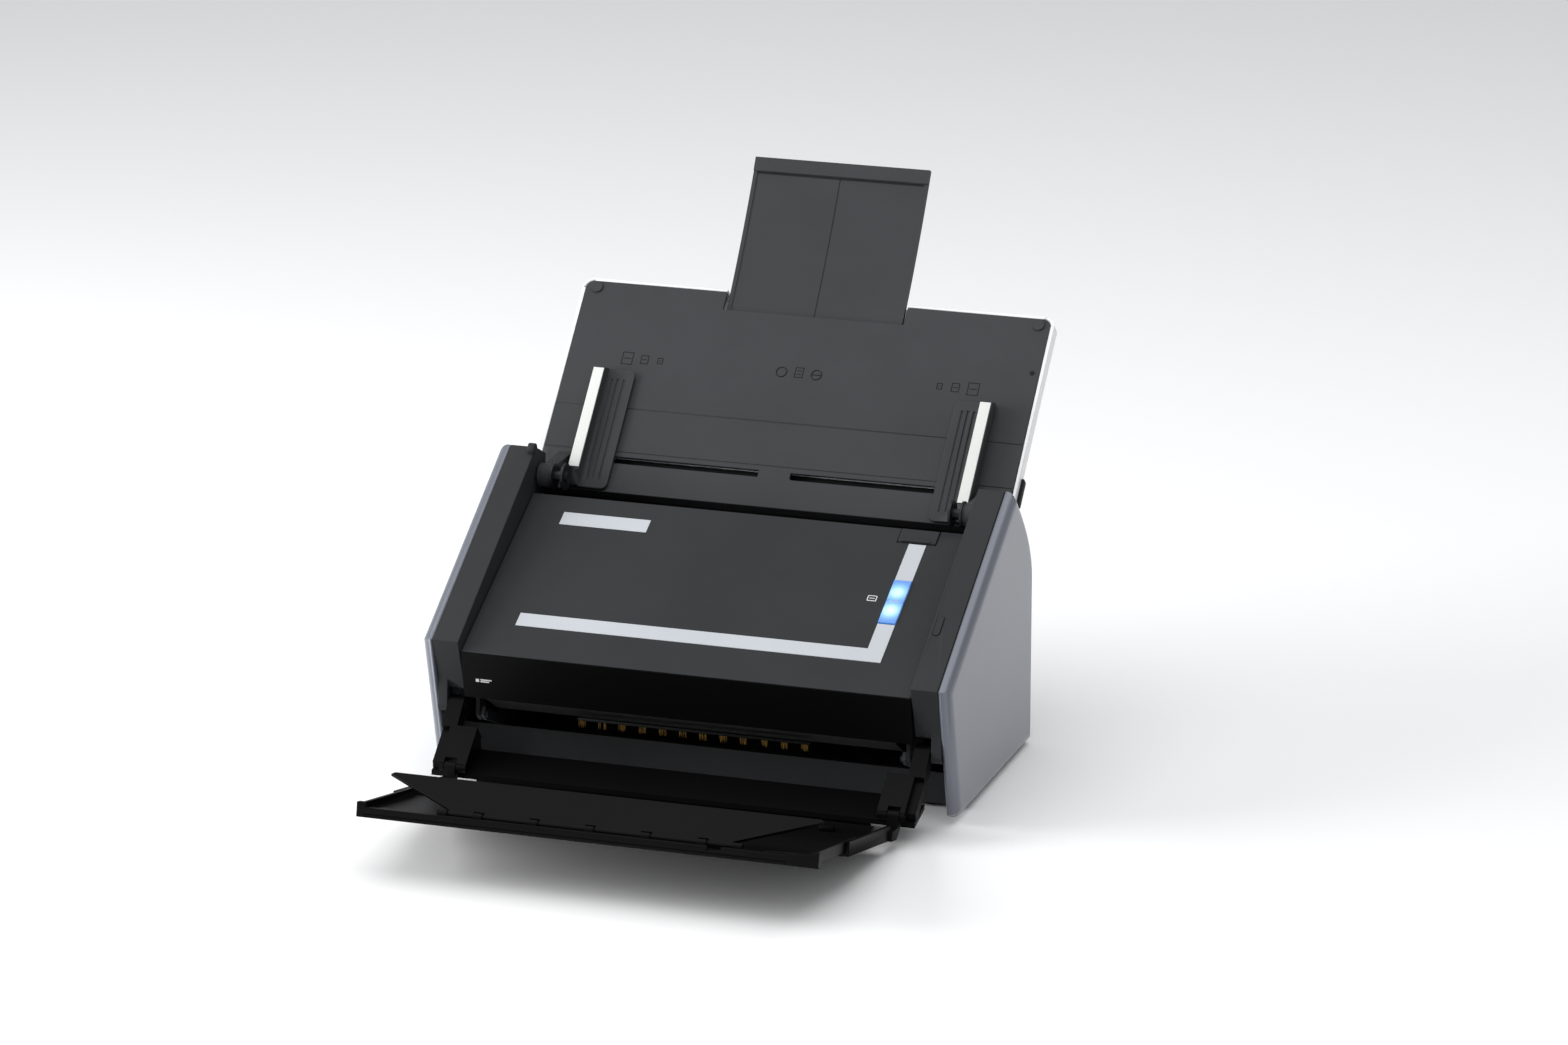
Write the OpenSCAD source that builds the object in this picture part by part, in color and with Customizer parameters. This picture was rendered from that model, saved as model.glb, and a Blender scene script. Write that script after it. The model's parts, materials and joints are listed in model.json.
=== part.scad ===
// Sheet fed document scanner, shown in use: the lid is open as a paper chute with its extension
// pulled up, and the front stacker is folded down.
// X runs across the paper, -Y is the front, +Z is up and Z = 0 is the desk.
// Side shapes are drawn as (y, z) outlines and extruded across X.

/* [Body] */
// Width over the two side panels
body_w = 292; // [280:1:360]
// Depth from the nose of the side panels to the rear cover
body_d = 158.8; // [150:0.2:195]
// Height of the side panels' front corner
nose_h = 79; // [74:0.5:92]
// Slope of the bezels' top edge
bezel_slope = 31; // [29:0.5:33]
// Thickness of a side panel
side_t = 6.6; // [5:0.1:9]
// Width of a bezel beside the feeder cover
bezel_w = 15.1; // [13:0.1:20]
// Wall of the moulded covers
wall_t = 2.4; // [1.8:0.1:3]
// Height of the rubber feet
foot_h = 2; // [1.5:0.1:3]

/* [Feeder cover] */
// Slope of the feeder cover's top
cover_slope = 26; // [24:0.5:28]
// Drop of the cover's front edge below the side panels' corner
cover_drop = 6; // [5:0.5:8]
// Height of the front face's lower edge
face_low_h = 46.2; // [44:0.2:50]
// Width of the satin trim strips
trim_w = 9.6; // [7:0.1:12]
// Length of the scan button along the cover's slope
button_len = 32.5; // [24:0.5:40]

/* [Paper chute] */
// Slope of the open chute
chute_slope = 46; // [40:1:52]
// Slope of the closed chute
lid_slope = 30; // [29:0.5:31]
// Distance of the hinge axis in front of the chute's face
hinge_off = 18.7; // [18:0.1:21]
// Thickness of the black chute plate
plate_t = 1.8; // [1.4:0.1:2.2]
// Thickness of the white lid shell
shell_t = 1.6; // [1.2:0.1:2.2]
// Hollow between plate and shell
chute_gap = 4.6; // [4.4:0.1:6]
// Width of the pull-out extension
ext_w = 100.8; // [80:0.2:120]
// Radius of the extension's curved slide
ext_r = 600; // [500:10:800]
// Thickness of the extension
ext_t = 1.8; // [1.4:0.1:2]
// Depth of the notch in the chute's top edge
notch_d = 13; // [9:0.5:18]

/* [Paper guides] */
// Paper width when the guides stand widest
paper_w = 214; // [196:1:216]
// Travel of each guide
guide_travel = 78; // [50:1:80]
// Height of a guide above the chute's face
guide_h = 9; // [7:0.5:10]
// Length of a guide along the chute
guide_len = 73.3; // [60:0.1:80]
// Module of the guide pinion and its racks
tooth_m = 0.8; // [0.7:0.05:1]
// Teeth of the guide pinion
pinion_z = 15; // [13:1:17]

/* [Stacker] */
// Length of the stacker tray from its hinge to the front edge, pulled out
tray_len = 131; // [122:1:140]
// Travel of the tray's pull-out end
tray_travel = 46; // [30:1:46]
// Slope of the tray
tray_slope = 12.7; // [8:0.1:16]
// Height of the tray's side walls
tray_wall_h = 7.8; // [6:0.1:9]
// Length of the stop flap
flap_len = 27.9; // [20:0.1:32]
// Angle of the stop flap above the tray
flap_up = 30.8; // [15:0.1:45]

/* [Fits] */
// Radial clearance of a turning shaft in its hole
run_fit = 0.06; // [0.03:0.01:0.09]
// Clearance between sliding pieces
slide_fit = 0.4; // [0.3:0.05:0.6]
// Gap between neighbouring covers
seam = 0.5; // [0.3:0.1:0.8]

/* [Hidden] */
$fn = 48;

// Across the width
side_in = body_w / 2 - side_t;
cover_hw = side_in - bezel_w;
chute_hw = side_in - 3.7;
frame_x = cover_hw - 8.3;
frame_t = 2;
path_hw = frame_x - 2;

// Side outline of the body
back_y = body_d / 2;
nose_y = -back_y + 2.4;
hinge_y = back_y - 31.9;
hinge_z = nose_h + (hinge_y - nose_y) * tan(bezel_slope) - 18.6;
crest_y = back_y - 35.4;
crest_z = nose_h + (crest_y - nose_y) * tan(bezel_slope);
floor_z = foot_h + 0.5;

// Feeder cover
cover_y = nose_y + 2;
cover_z = nose_h - cover_drop;
cover_len = (hinge_y - 10 - cover_y) / cos(cover_slope);
face_low_y = cover_y + 4.8;
cover_pin = [nose_y + 17.2, face_low_h - 11.7];
cover_pin_r = 2;

// Paper path: a straight line from below the chute down to the exit
path_top = [hinge_y + 10.5, hinge_z - 16.5];
exit = [nose_y + 39, 29.4];
path_slope = atan2(path_top[1] - exit[1], path_top[0] - exit[0]);
path_len = norm(path_top - exit);
paper_gap = 1.2;
eject_s = 0.15 * path_len;
rear_glass_s = 0.345 * path_len;
front_glass_s = 0.42 * path_len;
feed_s = 0.57 * path_len;
pick_s = 0.79 * path_len;
glass_w = 12;
shaft_r = 3;
feed_r = 8;
pick_r = 11;
idler_r = 5.5;
tyre_t = 2.5;
tyre_w = 14;
tyre_x = [-62, -22, 22, 62];
pick_x = [-20, 20];
tyre_gap = 1;
pulley_r = 6;
belt_t = 1.2;
pulley_w = 4;
motor_at = [-34, 30];

// Chute, in its own frame: y runs up the chute from the hinge's foot, z stands out of its face
chute_y0 = 2.4;
chute_y1 = (hinge_y - hinge_off * sin(lid_slope) - nose_y) / cos(lid_slope);
chute_back = -plate_t - chute_gap;
chute_pin_r = 3;
lip_t = 1.6;
notch_hw = ext_w / 2 + 1.6;
slot_y = 22.2;
slot_h = 4.2;
ext_mid_y = chute_y1 - 60.8;
ext_face = -plate_t - 2.5;
ext_top = 139.5;
ext_low = 40.8;
lip_h = 8;
guide_in = paper_w / 2;
guide_wall = 7;
guide_base = 15.6;
guide_y = chute_y0 + 0.4;
guide_floor = 0.3;
post_x = guide_in - 8;
slot_in = post_x - guide_travel - 12;
post_r = slot_h / 2 - slide_fit;
pinion_r = tooth_m * pinion_z / 2;
pinion_bore = 2;
rack_z = chute_back + 0.5;
rack_t = 2;
rack_h = 3;

// Stacker
arm_pin = [nose_y + 10.7, 40.4];
tray_pin = [nose_y - 19.2, 16.2];
arm_r = norm(tray_pin - arm_pin);
arm_open = atan2(tray_pin[1] - arm_pin[1], tray_pin[0] - arm_pin[0]);
arm_pin_r = 2.5;
tongue_r = 4.2;
tray_pin_r = 1.6;
arm_in = cover_hw - 10.8;
arm_out = cover_hw + 4.2;
arm_rim = side_in - 5.9;
arm_h = 3.2;
arm_start = 15;
ear_r = 2.8;
ear_in = cover_hw - 5;
ear_out = cover_hw + 1.2;
tray_hw = cover_hw - 0.8;
tray_low = -12;
tray_rear = 12;
tray_floor_t = 1.6;
tray_wall_t = 2;
bar_t = 4;
tray_base_len = tray_len - tray_travel - bar_t - 1;
slide_hw = tray_hw - tray_wall_t - slide_fit;
slide_low = tray_low + tray_floor_t + slide_fit;
slide_rear = tray_rear + tray_travel + 1;
flap_pin_r = 1.2;
flap_o = tray_len - bar_t - 1.8;
flap_w = slide_low + tray_floor_t + 2.2;
flap_hinge_hw = tray_hw - 47;
flap_edge_hw = tray_hw - 7;
flap_t = 1.6;

// The plan origin is the middle of the object as it stands in use
ext_turn = ext_top / ext_r * 180 / PI;
ext_tip = [ext_mid_y + (ext_r + ext_t) * sin(ext_turn), ext_face + ext_r - (ext_r + ext_t) * cos(ext_turn)];
reach_back = hinge_y + hinge_off * sin(chute_slope) + ext_tip[0] * cos(chute_slope)
  - ext_tip[1] * sin(chute_slope);
reach_front = tray_pin[0] - tray_len * cos(tray_slope) + tray_low * sin(tray_slope);
plan_y = -(reach_back + reach_front) / 2;

// ---------- placing ----------
module placed() translate([0, plan_y, 0]) children();

// Extrudes a (y, z) outline across X, from x0 to x1
module across(x0, x1) rotate([90, 0, 90]) translate([0, 0, x0]) linear_extrude(x1 - x0) children();

module both_sides() {
  children();
  mirror([1, 0, 0]) children();
}

module at_chute()
  placed() translate([0, hinge_y + hinge_off * sin(chute_slope), hinge_z - hinge_off * cos(chute_slope)])
    rotate([chute_slope, 0, 0]) children();

module at_cover() placed() translate([0, cover_y, cover_z]) rotate([cover_slope, 0, 0]) children();

module at_path() placed() translate([0, exit[0], exit[1]]) rotate([path_slope, 0, 0]) children();

// Tray frame: y runs out along the tray, z stands up from it
module at_tray() placed() translate([0, tray_pin[0], tray_pin[1]]) rotate([-tray_slope, 0, 0]) mirror([0,
  1, 0]) children();

// A round bar along X in the frame of the caller
module bar_x(r, x0, x1, y = 0, z = 0) translate([x0, y, z]) rotate([0, 90, 0]) cylinder(r = r, h = x1 - x0);

module box(x0, x1, y0, y1, z0, z1) translate([x0, y0, z0]) cube([x1 - x0, y1 - y0, z1 - z0]);

// ---------- body ----------
function bezier(a, b, c, d, n) = [
  for (i = [0:n]) let (t = i / n) a * pow(1 - t, 3) + 3 * b * t * pow(1 - t,
    2) + 3 * c * t * t * (1 - t) + d * pow(t, 3)
];
function side_outline() = concat(
  [[nose_y + 23.5, foot_h + 0.6], [back_y, foot_h - 0.6]],
  bezier([back_y, 88], [back_y + 3, 105], [back_y - 5, 121], [crest_y + 5, crest_z - 4.5], 8),
  [[crest_y, crest_z], [nose_y, nose_h], [nose_y + 17, foot_h + 4]]
);

// A side panel is rounded over most of its thickness
round_x = side_t - 1.4;
round_in = 6;
module side_panel() color("slategray") placed() hull() {
  across(side_in, body_w / 2 - round_x) polygon(side_outline());
  for (a = [15:15:90]) across(body_w / 2 - round_x * (1 - sin(a)) - 0.05,
    body_w / 2 - round_x * (1 - sin(a)))
    offset(delta = -round_in * (1 - cos(a))) polygon(side_outline());
}
module right_side_panel() side_panel();
module left_side_panel() mirror([1, 0, 0]) side_panel();

// Bezel: a black channel between feeder cover and side panel, with a tongue for the stacker's pin
module bezel() {
  x_in = cover_hw + seam;
  x_out = side_in;
  skin = 3;
  low = [nose_y + 9, face_low_h + 4];
  color("#3a3b3d") placed() difference() {
    across(x_in, x_out) polygon([
      [nose_y, nose_h], [crest_y, crest_z], [hinge_y + 11.5, hinge_z + 9], [hinge_y + 9.5, hinge_z - 12],
      [hinge_y - 6, hinge_z - 20], low
    ]);
    across(x_in + skin, x_out + 1) polygon([
      [nose_y + skin + 1, nose_h - skin], [crest_y - 3, crest_z - skin - 2], [hinge_y + 14, hinge_z + 6],
      [hinge_y + 12, hinge_z - 30], [hinge_y - 20, hinge_z - 40], [nose_y + 11, face_low_h]
    ]);
    bar_x(chute_pin_r + run_fit, x_in - 1, x_in + skin + 1, hinge_y, hinge_z);
  }
  color("#3a3b3d") placed() difference() {
    across(arm_rim + 0.5, x_out) {
      polygon([[nose_y + 7.4, 57], [nose_y + 15, 57], arm_pin + [tongue_r, 0], arm_pin - [tongue_r, 0]]);
      translate(arm_pin) circle(r = tongue_r);
    }
    bar_x(arm_pin_r + run_fit, arm_rim, x_out + 1, arm_pin[0], arm_pin[1]);
  }
}
module right_bezel() difference() {
  bezel();
  placed() plug_shape(0.35, 2);
}
module left_bezel() mirror([1, 0, 0]) bezel();

// Small plug in the right bezel that covers a screw
module plug_shape(grow, depth) {
  at_y = nose_y + 38;
  translate([cover_hw + bezel_w / 2 - 3.5, at_y, nose_h + (at_y - nose_y) * tan(bezel_slope)])
    rotate([bezel_slope, 0, 0]) translate([0, 0,
      -depth]) linear_extrude(depth + 0.3) offset(r = grow) hull() {
      translate([0, -5]) circle(1.7);
      translate([0, 5]) circle(1.7);
    }
}
module bezel_plug() color("#2c2d2f") placed() plug_shape(0, 1.4);

module base_tray() {
  x_out = side_in;
  y0 = exit[0] + 2;
  color("#2a2b2d") placed() difference() {
    union() {
      box(-x_out, x_out, y0, back_y - wall_t - seam, floor_z, floor_z + wall_t);
      both_sides() {
        box(x_out - wall_t, x_out, y0, back_y - wall_t - seam, floor_z, 46);
        box(path_hw - 10, x_out - wall_t, y0, y0 + wall_t, floor_z, 20);
      }
      box(-path_hw, path_hw, y0, y0 + wall_t, floor_z, 20);
      for (at = screw_spots()) translate([at[0], at[1], floor_z]) cylinder(r = 5, h = 9);
    }
    for (at = screw_spots()) translate([at[0], at[1], foot_h - 1]) {
      cylinder(r = 1.6, h = 14);
      cylinder(r = 3.4, h = 4.2);
    }
  }
}

function foot_spots() = [for (x = [-1, 1], y = [exit[0] + 13, back_y - 14]) [x * (side_in - 16), y]];
function screw_spots() = [for (x = [-1, 1], y = [exit[0] + 30, back_y - 30]) [x * (side_in - 16), y]];

module rubber_feet() color("#151515") placed() for (at = foot_spots()) translate([at[0], at[1], 0]) {
  cylinder(r = 6.5, h = floor_z);
}

module base_screws() color("silver") placed() for (at = screw_spots()) translate([at[0], at[1],
  foot_h + 1.2]) {
  difference() {
    union() {
      cylinder(r = 3, h = 2);
      cylinder(r = 1.6, h = 9.4);
    }
    for (a = [0, 90]) rotate(a) cube([3.4, 0.7, 1.8], center = true);
  }
}

module rear_cover() {
  top_y = hinge_y + 24.5;
  top_z = hinge_z - 22;
  color("#2e2f31") placed() difference() {
    across(-side_in, side_in) polygon([
      [back_y - wall_t, floor_z], [back_y, floor_z], [back_y, 96], [back_y - 1, 104], [top_y, top_z],
      [top_y - 8, top_z], [top_y - 8, top_z - wall_t], [top_y - 1.2, top_z - wall_t],
      [back_y - 1 - wall_t, 103], [back_y - wall_t, 96]
    ]);
    for (row = [0:5], x = [-1, 1])
      box(x * 62 - 24, x * 62 + 24, back_y - wall_t - 1, back_y + 1, 62 + 5 * row, 64.4 + 5 * row);
    translate([dc_x, back_y - wall_t - 1, port_z]) rotate([-90, 0, 0]) cylinder(r = 5 + seam / 2,
      h = wall_t + 2);
    box(usb_x - 6.4, usb_x + 6.4, back_y - wall_t - 1, back_y + 1, board_z + 1.2, port_z + 6);
    box(-side_in + 30, -side_in + 37, back_y - wall_t - 1, back_y + 1, port_z - 1.5, port_z + 1.5);
  }
}

dc_x = 96;
usb_x = 70;
port_z = 20;
board_z = floor_z + wall_t + 5;

module dc_jack() color("#101010") placed() difference() {
  union() {
    translate([dc_x, back_y - 13, port_z]) rotate([-90, 0, 0]) cylinder(r = 5, h = 12.6);
    box(dc_x - 5.5, dc_x + 5.5, back_y - 16, back_y - wall_t - seam, board_z + 1.6, port_z + 5.5);
  }
  translate([dc_x, back_y - 11, port_z]) rotate([-90, 0, 0]) cylinder(r = 2.8, h = 14);
}

module usb_port() color("#c9ccd0") placed() difference() {
  box(usb_x - 6, usb_x + 6, back_y - 17, back_y - 0.6, board_z + 1.6, port_z + 5.6);
  box(usb_x - 4.6, usb_x + 4.6, back_y - 13, back_y + 1, port_z - 4, port_z + 4.2);
}

module main_board() color("#1d5a33") placed() {
  box(-20, dc_x + 14, back_y - 56, back_y - 6, board_z, board_z + 1.6);
  for (at = [[0, back_y - 46], [40, back_y - 44]]) box(at[0], at[0] + 16, at[1], at[1] + 16,
    board_z + 1.6, board_z + 3);
  for (x = [-14, 100], y = [back_y - 52, back_y - 12])
    translate([x, y, floor_z + wall_t]) cylinder(r = 2.5, h = board_z - floor_z - wall_t);
}

// Steel side frames that carry the shafts
module side_frame() placed() difference() {
  across(frame_x, frame_x + frame_t) polygon([
    [exit[0] + 6, floor_z + wall_t], [back_y - 6, floor_z + wall_t], [back_y - 6, 92],
    [path_top[0] + 4, path_top[1] - 8], [path_top[0] - 2, path_top[1] - 4.5],
    [exit[0] - 1, exit[1] - 2.4], [cover_pin[0] - 1, cover_pin[1] + 4], [cover_pin[0] - 3.4, cover_pin[1]],
    [cover_pin[0], cover_pin[1] - 3.6], [exit[0] + 2, exit[1] - 9], [exit[0] + 6, exit[1] - 9]
  ]);
  bar_x(cover_pin_r + run_fit, frame_x - 1, frame_x + frame_t + 1, cover_pin[0], cover_pin[1]);
  bar_x(1.5 + run_fit, frame_x - 1, frame_x + frame_t + 1, motor_spot[0], motor_spot[1]);
  for (s = [eject_s, feed_s, pick_s]) frame_hole(s, s == pick_s ? pick_r : feed_r);
}
module frame_hole(s, r) {
  at = path_point(s, -r - paper_gap / 2);
  bar_x(shaft_r + run_fit, frame_x - 1, frame_x + frame_t + 1, at[0], at[1]);
}
function path_point(s, z) = [
  exit[0] + s * cos(path_slope) - z * sin(path_slope), exit[1] + s * sin(path_slope) + z * cos(path_slope)
];
module right_frame() color("#b8bcc2") side_frame();
module left_frame() color("#b8bcc2") mirror([1, 0, 0]) side_frame();

// Lower wall of the paper path, with windows for the tyres and the glass
module lower_guide() {
  top = -paper_gap / 2;
  color("#1f2022") at_path() difference() {
    box(-path_hw + 1, path_hw - 1, 4, path_len - 2, top - 2, top);
    for (x = tyre_x, s = [eject_s, feed_s])
      box(x - tyre_w / 2 - tyre_gap, x + tyre_w / 2 + tyre_gap, s - feed_r - 1, s + feed_r + 1, top - 3,
        top + 1);
    for (x = pick_x)
      box(x - tyre_w / 2 - tyre_gap, x + tyre_w / 2 + tyre_gap, pick_s - pick_r - 1, pick_s + pick_r + 1,
        top - 3, top + 1);
    box(-path_hw + 6, path_hw - 6, rear_glass_s - glass_w / 2 - 0.2, rear_glass_s + glass_w / 2 + 0.2,
      top - 3, top + 1);
  }
}

module rear_scan_unit() color("#26272a") at_path() difference() {
  box(-path_hw + 2, path_hw - 2, rear_glass_s - 10, rear_glass_s + 10, -24, -paper_gap / 2 - 2.2);
  box(-path_hw + 8, path_hw - 8, rear_glass_s - 4, rear_glass_s + 4, -20, 0);
}
module rear_scan_glass() color("lightblue", 0.4) at_path()
  box(-path_hw + 6.2, path_hw - 6.2, rear_glass_s - glass_w / 2, rear_glass_s + glass_w / 2,
    -paper_gap / 2 - 2.1, -paper_gap / 2 - 0.1);

// Rollers
module tyres(r, spots) for (x = spots) difference() {
  bar_x(r, x - tyre_w / 2, x + tyre_w / 2);
  bar_x(r - tyre_t, x - tyre_w, x + tyre_w);
}
module roller_core(r, spots) union() {
  bar_x(shaft_r, -frame_x - 9, frame_x + 4);
  for (x = spots) bar_x(r - tyre_t, x - tyre_w / 2, x + tyre_w / 2);
  difference() {
    bar_x(pulley_r, -frame_x - 8.4, -frame_x - 8.4 + pulley_w);
    bar_x(0.8, -frame_x - 9, -frame_x, pulley_r - 1.6, 0);
  }
}
module at_roller(s, r) at_path() translate([0, s, -r - paper_gap / 2]) children();
module pick_roller() color("#8d9196") at_roller(pick_s, pick_r) roller_core(pick_r, pick_x);
module pick_tyres() color("#3b3b3b") at_roller(pick_s, pick_r) tyres(pick_r, pick_x);
module feed_roller() color("#8d9196") at_roller(feed_s, feed_r) roller_core(feed_r, tyre_x);
module feed_tyres() color("#3b3b3b") at_roller(feed_s, feed_r) tyres(feed_r, tyre_x);
module eject_roller() color("#8d9196") at_roller(eject_s, feed_r) roller_core(feed_r, tyre_x);
module eject_tyres() color("#3b3b3b") at_roller(eject_s, feed_r) tyres(feed_r, tyre_x);

// Motor with its pulley, and the belt round the four pulleys
function pulley_spots() = [
  path_point(eject_s, -feed_r - paper_gap / 2), path_point(feed_s, -feed_r - paper_gap / 2),
  path_point(pick_s, -pick_r - paper_gap / 2), motor_spot
];
motor_spot = path_point(motor_at[1] + 0.2 * path_len, motor_at[0] - 8);
module belt_line(r) hull() for (at = pulley_spots()) translate(at) circle(r = r, $fn = 32);
module drive_belt() color("#111111") placed()
  across(-frame_x - 8.2, -frame_x - 8.6 + pulley_w) difference() {
    belt_line(pulley_r + 0.15 + belt_t);
    belt_line(pulley_r + 0.15);
  }
module drive_motor() color("#9a9da1") placed() translate([0, motor_spot[0], motor_spot[1]]) difference() {
  union() {
    bar_x(17, -frame_x + 1, -frame_x + 36);
    bar_x(5, -frame_x, -frame_x + 1);
  }
  bar_x(1.5 + run_fit, -frame_x - 1, -frame_x + 12);
}
module motor_pulley() color("#d0b060") placed() translate([0, motor_spot[0], motor_spot[1]]) difference() {
  union() {
    bar_x(pulley_r, -frame_x - 8.4, -frame_x - 8.4 + pulley_w);
    bar_x(1.5, -frame_x - 8.4, -frame_x + 11);
  }
  bar_x(0.8, -frame_x - 9, -frame_x - 4, pulley_r - 1.6, 0);
}

// ---------- feeder cover ----------

// Corners of the cover's side outline
function lid_low(s) = path_point(s, paper_gap / 2);
function lid_high(s, z) = [
  cover_y + s * cos(cover_slope) - z * sin(cover_slope),
    cover_z + s * sin(cover_slope) + z * cos(cover_slope)
];
lip_low = [nose_y + 25, 35.5];
lid_start = 5;
lid_end = path_len - 17;
inner_t = 2;
wall_x = frame_x + frame_t + 0.6;

module cover_top() {
  back = lid_high(cover_len, 0);
  mouth = path_point(lid_end + 2, paper_gap / 2 + inner_t + 0.6);
  color("#3a3b3d") difference() {
    placed() union() {
      across(-cover_hw, cover_hw) polygon([
        lid_high(0.2, 0), back, mouth, mouth - [wall_t, -1], back - [wall_t + 1, 3], lid_high(wall_t,
          -wall_t)
      ]);
      both_sides() across(wall_x, wall_x + 2) polygon([
        lid_high(wall_t + 0.6, -wall_t), lid_high(cover_len - 4, -wall_t), mouth - [wall_t + 0.5, 0],
        path_point(lid_end, paper_gap / 2 + inner_t + 0.4), path_point(lid_start + 4,
          paper_gap / 2 + inner_t + 0.4),
        lip_low + [3, 3], cover_pin + [3.6, -1], cover_pin + [0, -3.8], cover_pin - [3.8, 0],
        [cover_pin[0] - 3, cover_pin[1] + 8], [face_low_y + wall_t + 1, face_low_h + 4]
      ]);
    }
    placed() bar_x(cover_pin_r, -wall_x - 3, wall_x + 3, cover_pin[0], cover_pin[1]);
    at_cover() {
      trim_cut() short_trim_shape();
      trim_cut() corner_trim_shape();
      trim_cut() upper_trim_shape();
      translate([0, 0,
        -wall_t - 1]) linear_extrude(wall_t + 2) offset(delta = slide_fit / 2) button_shape();
      box(lever_x - seam, lever_x + lever_w + seam, cover_len - lever_l - seam, cover_len + 1, -7, 1);
    }
  }
}
module trim_cut() translate([0, 0, -0.4]) linear_extrude(1) children();

// Satin trims, set flush into the cover
trim_x = cover_hw - 23;
strip_y = 23.7;
short_y = cover_len - 22.3;
button_y = strip_y + trim_w + 19.4;
module short_trim_shape() translate([-trim_x - 1, short_y]) square([49.5, trim_w]);
module corner_trim_shape() {
  translate([-trim_x, strip_y]) square([2 * trim_x, trim_w]);
  translate([trim_x - trim_w, strip_y]) square([trim_w, button_y - strip_y - seam]);
}
module button_shape() translate([trim_x - trim_w, button_y]) square([trim_w, button_len]);
module upper_trim_shape() translate([trim_x - trim_w, button_y + button_len + seam])
  square([trim_w, cover_len - 11.4 - button_y - button_len - seam]);
module inlay() color("gainsboro") at_cover() translate([0, 0, -0.4]) linear_extrude(0.6) children();
module short_trim() inlay() short_trim_shape();
module corner_trim() inlay() corner_trim_shape();
module upper_trim() inlay() upper_trim_shape();

module scan_button() color("#4f8fe0") at_cover() {
  translate([0, 0, -wall_t]) linear_extrude(wall_t + 0.9) button_shape();
  translate([trim_x - trim_w / 2, button_y + button_len / 2, -wall_t - 3]) cylinder(r = 2.5, h = 3.2);
}

// Lever that unlocks the cover
lever_x = 85;
lever_w = 21;
lever_l = 10.5;
module release_lever() color("#2c2d2f") at_cover() {
  box(lever_x, lever_x + lever_w, cover_len - lever_l, cover_len - 0.6, -2, 0.6);
  box(lever_x + 3, lever_x + lever_w - 3, cover_len - lever_l, cover_len - lever_l + 1.6, 0.6, 1.4);
  bar_x(1.4, lever_x, lever_x + lever_w, cover_len - 2.4, -1.6);
}

module cover_front() color("#17181a") placed() difference() {
  across(-cover_hw, cover_hw) polygon([
    [cover_y, cover_z], [face_low_y, face_low_h], [face_low_y + wall_t, face_low_h + 0.6],
    [cover_y + wall_t + 1.3, cover_z - wall_t - 0.6], [cover_y + 1, cover_z]
  ]);
  across(-cover_hw - 1, cover_hw + 1) polygon([
    lid_high(0, 0), lid_high(wall_t + 8, 0), lid_high(wall_t + 8, -wall_t - 0.1), lid_high(wall_t - 0.2,
      -wall_t - 0.1)
  ]);
}

// Inner wall of the cover along the paper path, curving forward under the front face
module cover_inner() color("#1b1c1e") placed() difference() {
  union() {
    across(-path_hw + 0.6, path_hw - 0.6) polygon([
      lid_low(lid_start), lid_low(lid_end), path_point(lid_end, paper_gap / 2 + inner_t),
      path_point(lid_start + 3, paper_gap / 2 + inner_t), [lip_low[0] + 1, lip_low[1] + inner_t],
      [face_low_y + wall_t + 0.6, face_low_h + 1.6], [face_low_y + wall_t - 0.4, face_low_h - 0.2], lip_low
    ]);
    for (s = [feed_s, eject_s], x = [-74, 72]) {
      at = path_point(s, paper_gap / 2 + idler_r);
      across(x, x + 2) translate(at) rotate(path_slope) translate([-4, -idler_r + 0.2]) square([8,
        idler_r + 4]);
    }
  }
  for (s = [feed_s, eject_s]) {
    at = path_point(s, paper_gap / 2 + idler_r);
    for (x = tyre_x)
      translate([x - tyre_w / 2 - tyre_gap, at[0], at[1]]) rotate([path_slope, 0, 0])
        translate([0, -idler_r - 1, -idler_r - 1]) cube([tyre_w + 2 * tyre_gap, 2 * idler_r + 2, 6]);
    bar_x(2 + run_fit, -76, 76, at[0], at[1]);
  }
  placed_slot(front_glass_s, glass_w / 2 + 0.2, path_hw - 6);
  placed_slot(pick_s, 9.2, 17.2);
}
module placed_slot(s, half, x)
  translate([-x, path_point(s, 0)[0], path_point(s, 0)[1]]) rotate([path_slope, 0, 0])
    translate([0, -half, -1]) cube([2 * x, 2 * half, 6]);

module front_scan_unit() color("#26272a") at_path() difference() {
  box(-path_hw + 6, path_hw - 6, front_glass_s - 9, front_glass_s + 9, paper_gap / 2 + inner_t + 0.2, 22);
  box(-path_hw + 12, path_hw - 12, front_glass_s - 4, front_glass_s + 4, 0, 18);
}
module front_scan_glass() color("lightblue", 0.4) at_path()
  box(-path_hw + 6.2, path_hw - 6.2, front_glass_s - glass_w / 2, front_glass_s + glass_w / 2,
    paper_gap / 2 + 0.1, paper_gap / 2 + 2.1);
module separator_pad() color("#5a4a3a") at_path()
  box(-17, 17, pick_s - 9, pick_s + 9, paper_gap / 2 + 0.1, paper_gap / 2 + 3);
module cover_pins() color("silver") placed() both_sides()
  bar_x(cover_pin_r, frame_x - 1.4, wall_x + 2, cover_pin[0], cover_pin[1]);

module idlers(s) at_path() translate([0, s, paper_gap / 2 + idler_r]) {
  bar_x(2, -75, 75);
  for (x = tyre_x) bar_x(idler_r, x - tyre_w / 2, x + tyre_w / 2);
}
module feed_idlers() color("#d9d9d4") idlers(feed_s);
module eject_idlers() color("#d9d9d4") idlers(eject_s);

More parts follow.
